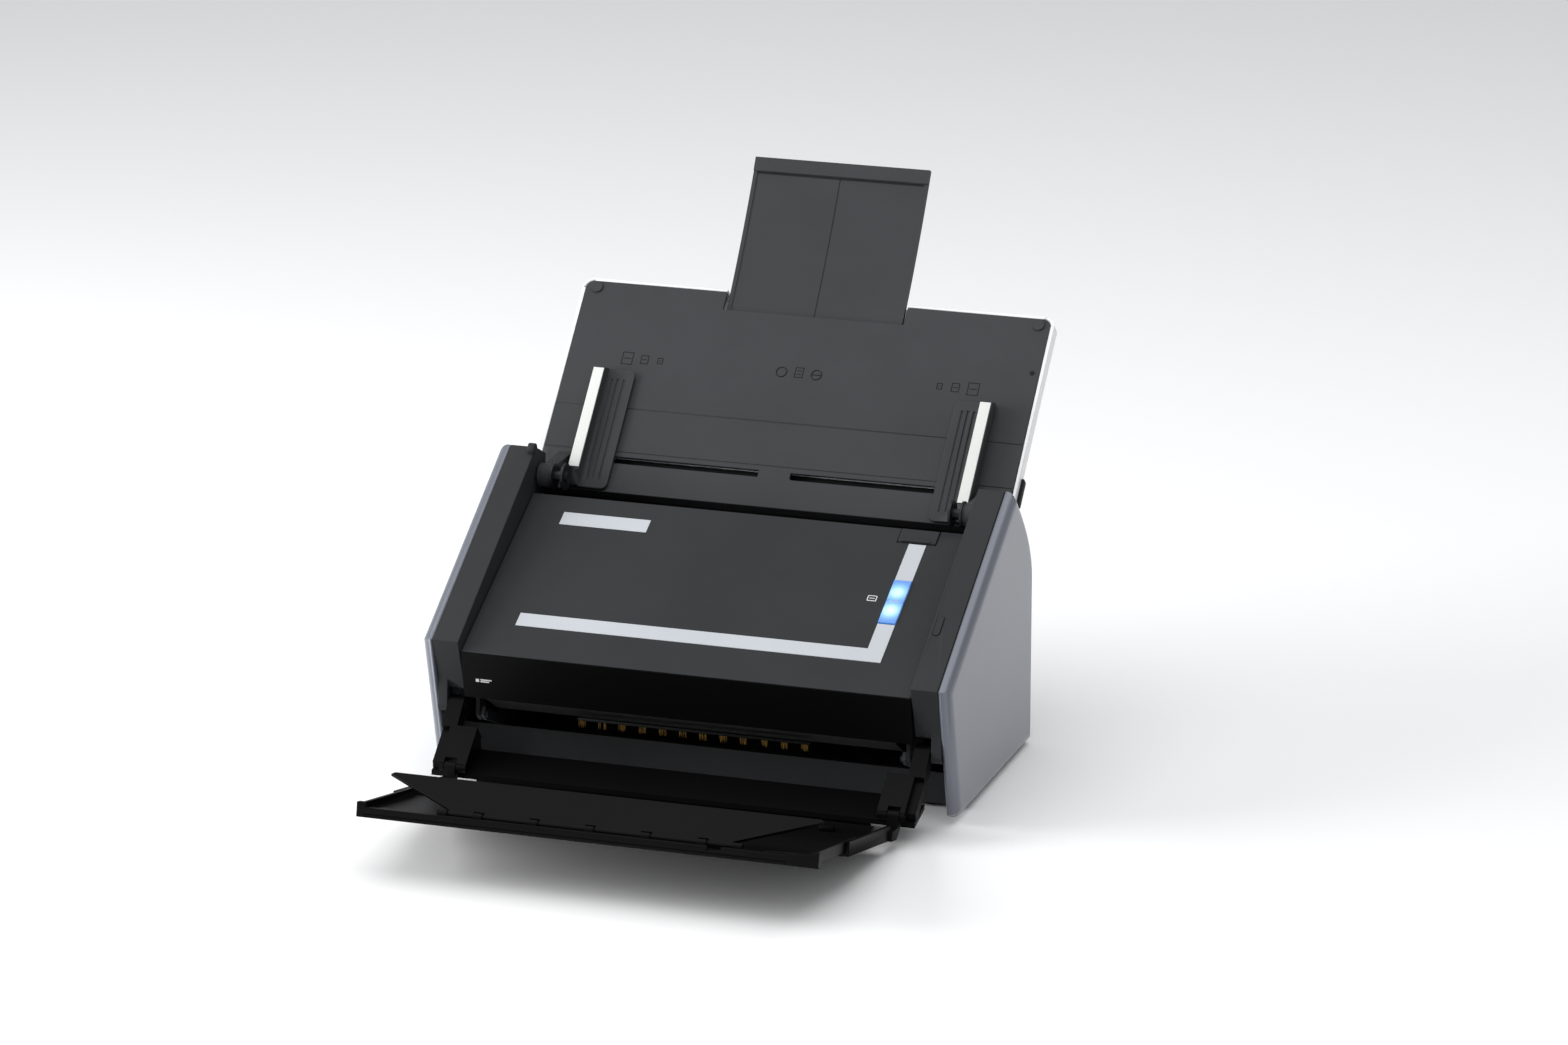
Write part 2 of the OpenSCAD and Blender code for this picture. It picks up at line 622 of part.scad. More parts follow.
// Brush that takes the charge off the paper at the exit
module exit_brush() color("#b98a3c") placed() {
  at = lip_low - [6.6, -4.2];
  half = 62;
  box(-half - 2, half + 2, at[0] - 1.2, at[0] + 1.2, at[1] - 3.6, at[1] - 2.2);
  for (i = [0:11]) translate([-half + i * 2 * half / 11 - 2.5, at[0] - 0.4, at[1] - 8]) cube([5, 0.8, 4.6]);
}

// ---------- chute ----------
module chute_shape(hw, y1, corner, y0 = chute_y0) {
  translate([-hw, y0]) square([2 * hw, y1 - y0 - corner]);
  translate([-hw + corner, y0]) square([2 * hw - 2 * corner, y1 - y0]);
  for (x = [-1, 1]) translate([x * (hw - corner), y1 - corner]) circle(r = corner);
}

module chute_plate() color("#454648") at_chute() difference() {
  union() {
    translate([0, 0, -plate_t]) linear_extrude(plate_t) chute_shape(chute_hw - 2.2, chute_y1 - 2, 5);
    box(-chute_hw + 2.2, chute_hw - 2.2, chute_y0, chute_y0 + lip_t, chute_back - shell_t, -plate_t / 2);
    both_sides() across(cover_hw - 7.9, cover_hw - 0.7) {
      translate([0, hinge_off]) circle(r = 6.5);
      polygon([[-6.5, hinge_off], [chute_y0, -1], [24, -1], [24, 0.6], [6.5, hinge_off]]);
    }
  }
  box(-notch_hw, notch_hw, chute_y1 - notch_d, chute_y1 + 1, -plate_t - 1, 1);
  for (x = [-1, 1]) guide_slot(x);
  both_sides() bar_x(chute_pin_r, cover_hw - 9, cover_hw + 1, 0, hinge_off);
  for (y = [slot_y + 5, chute_y1 - 79]) box(-chute_hw, chute_hw, y - 0.25, y + 0.25, -0.35, 1);
}
module guide_slot(side) {
  x_far = post_x + post_r + 1;
  box(min(side * slot_in, side * x_far), max(side * slot_in, side * x_far), slot_y - slot_h / 2,
    slot_y + slot_h / 2,
    -plate_t - 1, 1);
}

// White lid shell with a rim round the plate
module chute_shell() color("#eeeeec") at_chute() {
  difference() {
    translate([0, 0, chute_back - shell_t]) linear_extrude(shell_t - chute_back - 0.3)
      chute_shape(chute_hw, chute_y1, 7, chute_y0 + lip_t + 0.2);
    translate([0, 0, chute_back]) linear_extrude(20) chute_shape(chute_hw - 2, chute_y1 - 1.8, 5.2);
    box(-notch_hw, notch_hw, chute_y1 - 6, chute_y1 + 1, chute_back, 1);
  }
  translate([0, slot_y, chute_back - 0.1]) cylinder(r = pinion_bore, h = chute_gap - 0.5);
  for (x = [-1, 1], y = [48, 96]) translate([x * (notch_hw + 6), y, chute_back - 0.1]) cylinder(r = 3,
    h = chute_gap + 0.1);
}

module corner_pads() color("#333436") at_chute() for (x = [-1, 1])
  translate([x * (chute_hw - 8.7), chute_y1 - 6, 0]) cylinder(r = 3.2, h = 0.9);

module hinge_pins() color("silver") at_chute() both_sides()
  bar_x(chute_pin_r, cover_hw - 16.5, cover_hw + 3.3, 0, hinge_off);

module washer(x) difference() {
  bar_x(7.4, x, x + 1.2, 0, hinge_off);
  bar_x(chute_pin_r, x - 1, x + 3, 0, hinge_off);
}
module hinge_washers() color("#b9bcbf") at_chute() both_sides() {
  washer(cover_hw - 9.2);
  washer(cover_hw - 15.4);
}

// Extension: a curved plate that slides between shell and plate on a wide arc.
// pull = 0 is fully out, and s runs along its curve from the middle of the pocket.
function ext_angle(s) = s / ext_r * 180 / PI;
module ext_band(s0, s1, inner, outer, x0, x1) {
  reach = ext_r + 20;
  across(x0, x1) translate([ext_mid_y, ext_face + ext_r]) intersection() {
    difference() {
      circle(r = ext_r + outer, $fn = 720);
      circle(r = ext_r - inner, $fn = 720);
    }
    polygon([
      [0, 0], reach * [sin(ext_angle(s0)), -cos(ext_angle(s0))], reach * [sin(ext_angle(s1)),
        -cos(ext_angle(s1))]
    ]);
  }
}
module extension() {
  hw = ext_w / 2;
  color("#48494b") at_chute() difference() {
    union() {
      ext_band(ext_low, ext_top, 0, ext_t, -hw, hw);
      ext_band(ext_top - lip_h, ext_top, 1.2, ext_t, -hw, hw);
      both_sides() ext_band(ext_low, ext_top - lip_h + 1, 0.4, ext_t, hw - 2.2, hw);
    }
    ext_band(ext_low - 1, ext_top - lip_h - 1, 0.6, 0.35, -0.35, 0.35);
  }
}

// ---------- paper guides ----------
module guide() {
  x0 = guide_in;
  top = guide_h - 0.5;
  y1 = guide_y + guide_len;
  color("#48494b") at_chute() difference() {
    union() {
      across(x0, x0 + guide_wall) polygon([
        [guide_y, guide_floor], [y1, guide_floor], [y1, 3], [y1 - 2.5, top], [guide_y + 9, top],
          [guide_y, 5]
      ]);
      translate([0, 0, guide_floor]) linear_extrude(2.2) {
        translate([x0 - guide_base + 4, guide_y]) square([guide_base - 3.9, guide_len]);
        translate([x0 - guide_base, guide_y + 4]) square([5, guide_len - 8]);
        for (y = [guide_y + 4, y1 - 4]) translate([x0 - guide_base + 4, y]) circle(r = 4);
      }
      translate([post_x, slot_y, rack_z + rack_t]) cylinder(r = post_r,
        h = guide_floor - rack_z - rack_t + 0.2);
    }
    for (x = [3.4, 6.8, 10.2]) box(x0 - x - 0.5, x0 - x + 0.5, guide_y + 6, y1 - 6, guide_floor + 1.7, 5);
  }
}
module right_guide() guide();
module left_guide() mirror([1, 0, 0]) guide();

module guide_strip() color("#eef0ec") at_chute()
  box(guide_in + 0.4, guide_in + guide_wall - 0.6, guide_y + 9, guide_y + guide_len - 3, guide_h - 0.5,
    guide_h + 0.1);
module right_guide_strip() guide_strip();
module left_guide_strip() mirror([1, 0, 0]) guide_strip();

// Teeth are plain trapezoids, cut thin enough to run without touching
pitch = PI * tooth_m;
tooth_out = 0.2 * tooth_m;
add = 0.75 * tooth_m;
ded = 1.05 * tooth_m;
module guide_pinion() color("#d8d4c8") at_chute() translate([0, slot_y, rack_z]) difference() {
  root = pinion_r - ded;
  union() {
    cylinder(r = root, h = rack_t);
    for (i = [0:pinion_z - 1]) rotate(i * 360 / pinion_z) linear_extrude(rack_t)
      polygon([[-0.72 * tooth_m, root - 1], [-tooth_out, pinion_r + add], [tooth_out, pinion_r + add],
        [0.72 * tooth_m, root - 1]]);
  }
  translate([0, 0, -1]) cylinder(r = pinion_bore + run_fit, h = 6);
}
// Rack above the pinion, from the left guide's post past the middle, with a gap at x = 0
// for shift = 0.5 and a tooth there for shift = 0
module rack_shape(shift) {
  first = -round((post_x - 16) / pitch);
  last = 3;
  base = pinion_r + ded;
  translate([-post_x - 3, base]) square([post_x + 3 + (last + 1) * pitch, rack_h]);
  translate([-post_x - 3, -post_r]) square([6, base + post_r + 1]);
  for (i = [first:last]) translate([(i + shift) * pitch, base])
    polygon([[-0.66 * tooth_m, 0.1], [-tooth_out, -add - ded], [tooth_out, -add - ded], [0.66 * tooth_m,
      0.1]]);
}
module rack(turn, shift) color("#d8d4c8") at_chute()
  translate([0, slot_y, rack_z]) rotate(turn) linear_extrude(rack_t) rack_shape(shift);
module left_rack() rack(0, 0.5);
module right_rack() rack(180, pinion_z % 2 == 0 ? 0.5 : 0);

// ---------- stacker ----------
// Arm frame: y runs from the arm's pin to the tray's pin, z points to the arm's underside
module at_arm() placed() translate([0, arm_pin[0], arm_pin[1]]) rotate([arm_open, 0, 0]) children();

module stacker_base() color("#1a1b1d") {
  back_top = arm_pin + [-6.9, -21.6];
  front_top = arm_pin + [-30, -27.3];
  placed() {
    across(-arm_in - 1, arm_in + 1) polygon([
      back_top, front_top, front_top - [0.4, 2.6], back_top - [0.6, 2.4]
    ]);
    both_sides() across(arm_in, arm_in + 2) polygon([
      arm_pin + arm_start * [cos(arm_open), sin(arm_open)], back_top - [0.4, 1.6], front_top - [0.2, 1.8],
      tray_pin - [0, 0.5]
    ]);
  }
  wing_back = back_top + 0.25 * (front_top - back_top);
  difference() {
    placed() both_sides() across(arm_in, arm_rim) polygon([
      wing_back, front_top, front_top - [0.4, 2.6], wing_back - [0.5, 2.5]
    ]);
    at_arm() both_sides() ear_notch();
  }
  at_arm() both_sides() difference() {
    union() {
      across(arm_in, arm_out) {
        polygon([
          [arm_start, -arm_h], [arm_r, -arm_h], [arm_r, arm_h], [arm_r - 6, arm_h + 2],
          [arm_start, arm_h + 3]
        ]);
        translate([arm_r, 0]) circle(r = ear_r);
      }
      across(arm_out, arm_rim) polygon([[8, 0], [arm_r - 2, 0], [arm_r, arm_h], [arm_r - 6, arm_h + 2],
        [10, arm_h + 1]]);
      across(cover_hw + 0.6, arm_rim) {
        circle(r = 5);
        polygon([[0, -5], [arm_start + 1, -arm_h], [arm_start + 1, arm_h + 1], [0, 5]]);
      }
    }
    ear_notch();
    bar_x(tray_pin_r, arm_in - 1, arm_out + 1, arm_r, 0);
    bar_x(arm_pin_r, cover_hw, arm_rim + 1);
  }
}

module ear_notch() across(ear_in - slide_fit, ear_out + slide_fit) translate([arm_r - ear_r - 0.8,
  -20]) square([20, 40]);

module stacker_pins() color("silver") at_arm() both_sides() {
  bar_x(tray_pin_r, arm_in + 2.5, arm_out - 0.4, arm_r, 0);
  bar_x(arm_pin_r, cover_hw + 1, side_in - 0.4);
}

module stacker_tray() color("#1c1d1f") at_tray() {
  box(-tray_hw, tray_hw, tray_rear, tray_base_len, tray_low, tray_low + tray_floor_t);
  across(-arm_in + 1, arm_in - 1) polygon([
    [tray_rear + 0.5, tray_low], [tray_rear + 0.5, tray_low + tray_floor_t], [2.4, -6.2], [1.6, -7.6]
  ]);
  both_sides() {
    box(tray_hw - tray_wall_t, tray_hw, tray_rear - 3, tray_base_len, tray_low, tray_low + tray_wall_h);
    difference() {
      across(ear_in, ear_out) {
        circle(r = ear_r);
        polygon([[-ear_r, 0], [ear_r, 0], [ear_r, -6], [tray_rear, -7], [tray_rear, tray_low], [4,
          tray_low], [-ear_r, -6]]);
      }
      bar_x(tray_pin_r + run_fit, ear_in - 1, ear_out + 1);
    }
  }
}

knuckles = [-60, -30, 0, 30, 60];
knuckle_w = 5;
notch_x = [64, 72];
bar_h = 5.2;
block_l = 17;
module tray_extension() color("#202123") at_tray() {
  wall_top = tray_low + tray_wall_h;
  floor_top = slide_low + tray_floor_t;
  difference() {
    union() {
      box(-slide_hw, slide_hw, slide_rear, tray_len - bar_t + 0.5, slide_low, floor_top);
      box(-tray_hw, tray_hw, tray_len - bar_t, tray_len, tray_low, tray_low + bar_h);
      both_sides() box(tray_hw - bar_t, tray_hw, tray_len - bar_t, tray_len, tray_low, wall_top);
      box(tray_hw - block_l, tray_hw, tray_len - bar_t, tray_len, tray_low, tray_low + bar_h + 1.2);
      both_sides() box(slide_hw - tray_wall_t, slide_hw, slide_rear, tray_len - bar_t + 0.5, slide_low,
        wall_top);
    }
    box(notch_x[0], notch_x[1], tray_len - bar_t - 1, tray_len + 1, slide_low + 1.2, wall_top + 1);
    box(-tray_hw + bar_t, tray_hw - block_l, tray_len - 0.6, tray_len + 1, tray_low + 1.5, tray_low + 2.2);
  }
  difference() {
    for (x = concat(knuckles, [-flap_hinge_hw - 2.5, flap_hinge_hw + 2.5])) across(x - knuckle_w / 2,
      x + knuckle_w / 2) {
      translate([flap_o, flap_w]) circle(r = 1.9);
      translate([flap_o - 1.9, slide_low + 1]) square([3.8, flap_w - slide_low - 1]);
    }
    bar_x(flap_pin_r + run_fit, -tray_hw, tray_hw, flap_o, flap_w);
  }
}

module stop_flap() color("#232427") at_tray() translate([0, flap_o, flap_w]) rotate([-flap_up, 0, 0]) {
  end = flap_hinge_hw - knuckle_w / 2 + 2;
  difference() {
    translate([0, 0, -flap_t / 2]) linear_extrude(flap_t) polygon([
      [-end, 0], [end, 0], [end, -3], [flap_edge_hw, -flap_len + 2], [flap_edge_hw - 2, -flap_len],
      [-flap_edge_hw + 2, -flap_len], [-flap_edge_hw, -flap_len + 2], [-end, -3]
    ]);
    for (x = knuckles) box(x - knuckle_w / 2 - slide_fit, x + knuckle_w / 2 + slide_fit, -3, 3, -3, 3);
  }
  bar_x(flap_pin_r, -flap_hinge_hw - 4, flap_hinge_hw + 4);
}

base_tray();
rear_cover();
left_frame();
right_frame();
left_bezel();
right_bezel();
left_side_panel();
right_side_panel();
bezel_plug();
lower_guide();
rear_scan_unit();
rear_scan_glass();
drive_motor();
drive_belt();
main_board();
dc_jack();
usb_port();
rubber_feet();
base_screws();
chute_shell();
chute_plate();
corner_pads();
hinge_pins();
hinge_washers();
extension();
left_guide();
left_guide_strip();
left_rack();
right_guide();
right_guide_strip();
right_rack();
guide_pinion();
cover_top();
cover_front();
cover_inner();
cover_pins();
front_scan_unit();
front_scan_glass();
exit_brush();
separator_pad();
short_trim();
corner_trim();
upper_trim();
scan_button();
release_lever();
pick_roller();
pick_tyres();
feed_roller();
feed_tyres();
eject_roller();
eject_tyres();
motor_pulley();
feed_idlers();
eject_idlers();
stacker_base();
stacker_pins();
stacker_tray();
tray_extension();
stop_flap();
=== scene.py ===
# %% [markdown]
# # A desktop sheet fed scanner
# The working model already holds every moving part at its real size. This lesson gives it
# its looks: rounded moulded edges, small trim, bristles and procedural finishes.
# The model is loaded first.

# %% Load the working model
import json
import math
import random

import bmesh
import bpy
from mathutils import Matrix, Vector


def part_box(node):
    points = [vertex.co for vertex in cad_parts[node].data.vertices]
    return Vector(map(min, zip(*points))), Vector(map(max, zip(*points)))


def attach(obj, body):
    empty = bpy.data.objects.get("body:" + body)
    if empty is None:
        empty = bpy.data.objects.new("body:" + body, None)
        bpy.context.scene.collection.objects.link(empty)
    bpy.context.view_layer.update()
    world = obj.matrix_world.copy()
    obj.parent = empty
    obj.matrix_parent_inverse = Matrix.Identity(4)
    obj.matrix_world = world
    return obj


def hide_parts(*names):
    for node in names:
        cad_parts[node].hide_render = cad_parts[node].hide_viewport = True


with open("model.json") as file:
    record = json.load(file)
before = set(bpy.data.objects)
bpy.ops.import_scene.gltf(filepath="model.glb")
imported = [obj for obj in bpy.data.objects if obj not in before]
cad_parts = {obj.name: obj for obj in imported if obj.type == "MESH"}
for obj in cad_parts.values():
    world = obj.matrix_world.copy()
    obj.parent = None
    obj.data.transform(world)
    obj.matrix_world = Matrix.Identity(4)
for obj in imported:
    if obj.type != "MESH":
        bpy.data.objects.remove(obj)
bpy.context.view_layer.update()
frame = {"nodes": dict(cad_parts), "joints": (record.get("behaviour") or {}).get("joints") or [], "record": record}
mm = 0.001
joints = {joint["name"]: joint for joint in frame["joints"]}
bodies = frame["record"]["behaviour"]["bodies"]
body_of_node = {node: body for body, nodes in bodies.items() for node in nodes}
slot_of_node = {part["node"]: part["material_slot"] for part in frame["record"]["subparts"]}
print("nodes:", len(frame["nodes"]), "joints:", len(joints))

# %% [markdown]
# ## Where things are
# Most visible faces slope, so small parts are placed in four flat frames: the feeder cover,
# the paper chute, the stacker tray and the cover's front. Each one is read from the model,
# so it follows the working model. In each frame X runs across the paper, Y along the face
# and Z straight out of it.

# %% Frames of the sloping faces
def face_frame(origin, normal):
    out = Vector(normal).normalized()
    across = Vector((1, 0, 0))
    along = out.cross(across)
    turn = Matrix((across, along, out)).transposed().to_4x4()
    return Matrix.Translation(Vector(origin)) @ turn


cover_low, cover_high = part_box("cover_front")
cover_face = face_frame((0, cover_low.y, cover_high.z), -Vector(joints["scan_button_press"]["axis"]))
chute_normal = Vector(joints["guide_pinion_spin"]["axis"])
chute_face = face_frame(joints["guide_pinion_spin"]["pos_m"], chute_normal)
tray_out = Vector(joints["tray_slide"]["axis"])
tray_face = face_frame(joints["tray_fold"]["pos_m"], tray_out.cross(Vector((1, 0, 0))))
front_node = frame["nodes"]["cover_front"]
LABEL_SIGHT = Vector((-0.1125, -0.3, 0.057))
found, label_spot, label_normal, _ = front_node.ray_cast(LABEL_SIGHT, Vector((0, 1, 0)))
label_face = face_frame(label_spot, label_normal)
print("front label spot found:", found, [round(v / mm, 1) for v in label_spot])
print("cover slope:", round(math.degrees(math.asin(cover_face.col[1].z)), 1), "degrees")
print("chute slope:", round(math.degrees(math.asin(chute_face.col[1].z)), 1), "degrees")
print("tray faces:", [round(v, 3) for v in tray_face.col[2].xyz])

# %% [markdown]
# ## Camera, floor and light
# A long lens from the front right, a little above, shows the object almost without perspective.
# The view is a product shot on white: a pale floor, a bright even sky, and large soft lamps
# that draw light bands along the rounded edges.

# %% Camera
TARGET = Vector((0.03095, 0.013245, 0.13709))
DISTANCE = 3.3805
AZIMUTH, ELEVATION, ROLL = (math.radians(v) for v in (18.31, 17.47, -0.12))

camera_data = bpy.data.cameras.new("camera")
camera_data.lens, camera_data.sensor_width = 146.93, 36.0
camera_data.clip_start, camera_data.clip_end = 0.1, 50.0
camera = bpy.data.objects.new("camera", camera_data)
bpy.context.scene.collection.objects.link(camera)
away = Vector((
    math.sin(AZIMUTH) * math.cos(ELEVATION),
    -math.cos(AZIMUTH) * math.cos(ELEVATION),
    math.sin(ELEVATION),
))
aim = (-away).to_track_quat("-Z", "Y").to_matrix().to_4x4()
camera.matrix_world = Matrix.Translation(TARGET + away * DISTANCE) @ aim @ Matrix.Rotation(ROLL, 4, "Z")
bpy.context.scene.camera = camera
bpy.context.scene.view_settings.view_transform = "Standard"
print("camera at", [round(v, 3) for v in camera.location])


# %% Studio lamps
def soft_lamp(name, direction, distance, size, watts):
    data = bpy.data.lights.new(name, "AREA")
    data.shape, data.size, data.size_y = "RECTANGLE", size[0], size[1]
    data.energy = watts
    lamp = bpy.data.objects.new(name, data)
    bpy.context.scene.collection.objects.link(lamp)
    way = Vector(direction).normalized()
    lamp.location = TARGET + way * distance
    lamp.rotation_euler = (-way).to_track_quat("-Z", "Y").to_euler()


soft_lamp("lamp_top", (0.0, -0.1, 1.0), 1.7, (2.2, 1.8), 17)
soft_lamp("lamp_left", (-1.0, -0.4, 0.16), 1.7, (0.9, 1.5), 42)
soft_lamp("lamp_right", (0.45, 0.45, 0.8), 1.8, (1.0, 0.8), 3)

world = bpy.data.worlds.new("studio")
world.use_nodes = True
world.node_tree.nodes["Background"].inputs["Color"].default_value = (0.95, 0.96, 0.98, 1)
world.node_tree.nodes["Background"].inputs["Strength"].default_value = 0.5
bpy.context.scene.world = world


# %% Small mesh helpers
def finish_mesh(bm, name, smooth_angle):
    mesh = bpy.data.meshes.new(name)
    for face in bm.faces:
        face.smooth = True
    bm.to_mesh(mesh)
    bm.free()
    mesh.set_sharp_from_angle(angle=math.radians(smooth_angle))
    return mesh


def show_piece(bm, name, body, material, replaces, smooth_angle):
    piece = bpy.data.objects.new(name, finish_mesh(bm, name, smooth_angle))
    bpy.context.scene.collection.objects.link(piece)
    piece.data.materials.append(material)
    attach(piece, body)
    if replaces:
        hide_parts(*replaces)
    return piece


# %% Floor
def floor_material():
    material = bpy.data.materials.new("floor_white")
    material.use_nodes = True
    shader = material.node_tree.nodes["Principled BSDF"]
    shader.inputs["Base Color"].default_value = (0.97, 0.97, 0.97, 1)
    shader.inputs["Roughness"].default_value = 0.9
    return material


floor_bm = bmesh.new()
bmesh.ops.create_grid(floor_bm, x_segments=1, y_segments=1, size=12)
floor = bpy.data.objects.new("floor", finish_mesh(floor_bm, "floor", 30))
floor.location.z = -0.0002
floor.data.materials.append(floor_material())
bpy.context.scene.collection.objects.link(floor)
print("floor and", len(bpy.data.lights), "lamps are set")

# %% [markdown]
# ## Two shared effects
# Spark-eroded plastic and painted metal differ in scale and strength, but both are a fine
# random grain over a slow change of tone. So the grain is one node group, and the faint
# handling marks of a used machine are another. They put out only masks and heights. The
# shaders themselves stay in each material, where the export can read them.

# %% Node helpers
def srgb(code):
    parts = [int(code[i:i + 2], 16) / 255 for i in (1, 3, 5)]
    return (*[v / 12.92 if v <= 0.04045 else ((v + 0.055) / 1.055) ** 2.4 for v in parts], 1)


def add_node(tree, kind, inputs=None, **settings):
    node = tree.nodes.new(kind)
    for key, value in settings.items():
        setattr(node, key, value)
    for key, value in (inputs or {}).items():
        if isinstance(value, bpy.types.NodeSocket):
            tree.links.new(value, node.inputs[key])
        else:
            node.inputs[key].default_value = value
    return node


def new_group(name, inputs, outputs):
    tree = bpy.data.node_groups.new(name, "ShaderNodeTree")
    for label, kind, value in inputs:
        socket = tree.interface.new_socket(name=label, in_out="INPUT", socket_type=kind)
        if value is not None:
            socket.default_value = value
    for label in outputs:
        tree.interface.new_socket(name=label, in_out="OUTPUT", socket_type="NodeSocketFloat")
    return tree, tree.nodes.new("NodeGroupInput"), tree.nodes.new("NodeGroupOutput")


# %% Group: moulded grain
def make_grain_group():
    inputs = [("Vector", "NodeSocketVector", None), ("Scale", "NodeSocketFloat", 2000.0)]
    tree, start, end = new_group("moulded_grain", inputs, ["Height", "Tone"])
    fine = add_node(tree, "ShaderNodeTexNoise", {
        "Vector": start.outputs["Vector"], "Scale": start.outputs["Scale"],
        "Detail": 3.0, "Roughness": 0.6,
    })
    slow = add_node(tree, "ShaderNodeTexNoise", {
        "Vector": start.outputs["Vector"], "Scale": 14.0, "Detail": 4.0, "Roughness": 0.55,
    })
    speck = add_node(tree, "ShaderNodeMath", {0: fine.outputs["Fac"], 1: 0.35}, operation="MULTIPLY")
    tone = add_node(tree, "ShaderNodeMath", {0: slow.outputs["Fac"], 1: 0.65, 2: speck.outputs[0]},
                    operation="MULTIPLY_ADD")
    tree.links.new(fine.outputs["Fac"], end.inputs["Height"])
    tree.links.new(tone.outputs[0], end.inputs["Tone"])
    return tree


# %% Group: handling marks
def make_marks_group():
    inputs = [("Vector", "NodeSocketVector", None), ("Amount", "NodeSocketFloat", 0.5)]
    tree, start, end = new_group("handling_marks", inputs, ["Mask"])
    stretch = add_node(tree, "ShaderNodeMapping", {
        "Vector": start.outputs["Vector"], "Rotation": (0.4, 0.2, 0.7), "Scale": (18.0, 90.0, 40.0),
    })
    smear = add_node(tree, "ShaderNodeTexNoise", {
        "Vector": stretch.outputs[0], "Scale": 1.0, "Detail": 5.0,
    })
    cut = add_node(tree, "ShaderNodeMapRange", {
        "Value": smear.outputs["Fac"], "From Min": 0.56, "From Max": 0.78,
    })
    mask = add_node(tree, "ShaderNodeMath", {
        0: cut.outputs[0], 1: start.outputs["Amount"],
    }, operation="MULTIPLY")
    tree.links.new(mask.outputs[0], end.inputs["Mask"])
    return tree


grain_group, marks_group = make_grain_group(), make_marks_group()
print("node groups:", grain_group.name, marks_group.name)

# %% [markdown]
# ## The finishes
# One function makes every solid finish from a colour, a roughness and a grain. A moulded
# cover is matte with visible grain, the front face is smoother, and metal and paint get a
# metallic part and a clear coat. Tone, marks and roughness all vary over the surface.

# %% One recipe for solid finishes
def solid_finish(name, colour, rough, grain, depth, strength, spread=0.16, marks=0.1,
                 metallic=0.0, coat=0.0, specular=0.22, stretch=(1, 1, 1)):
    material = bpy.data.materials.new(name)
    material.use_nodes = True
    tree = material.node_tree
    shader = tree.nodes["Principled BSDF"]
    place = add_node(tree, "ShaderNodeTexCoord")
    scaled = add_node(tree, "ShaderNodeMapping", {"Vector": place.outputs["Object"], "Scale": stretch})
    grained = add_node(tree, "ShaderNodeGroup", node_tree=grain_group)
    grained.inputs["Scale"].default_value = grain
    tree.links.new(scaled.outputs[0], grained.inputs["Vector"])
    marked = add_node(tree, "ShaderNodeGroup", node_tree=marks_group)
    marked.inputs["Amount"].default_value = marks
    tree.links.new(place.outputs["Object"], marked.inputs["Vector"])
    base = srgb(colour)
    dark = tuple(v * (1 - spread) for v in base[:3]) + (1,)
    light = tuple(min(1, v * (1 + spread)) for v in base[:3]) + (1,)
    tone = add_node(tree, "ShaderNodeValToRGB", {"Fac": grained.outputs["Tone"]})
    tone.color_ramp.elements[0].position, tone.color_ramp.elements[1].position = 0.3, 0.7
    tone.color_ramp.elements[0].color, tone.color_ramp.elements[1].color = dark, light
    roughness = add_node(tree, "ShaderNodeMath", {0: marked.outputs["Mask"], 1: -0.25, 2: rough},
                         operation="MULTIPLY_ADD")
    bump = add_node(tree, "ShaderNodeBump", {
        "Height": grained.outputs["Height"], "Strength": strength, "Distance": depth,
    })
    tree.links.new(tone.outputs[0], shader.inputs["Base Color"])
    tree.links.new(roughness.outputs[0], shader.inputs["Roughness"])
    tree.links.new(bump.outputs[0], shader.inputs["Normal"])
    shader.inputs["Metallic"].default_value = metallic
    shader.inputs["Coat Weight"].default_value = coat
    shader.inputs["Coat Roughness"].default_value = 0.25
    shader.inputs["Specular IOR Level"].default_value = specular
    return material


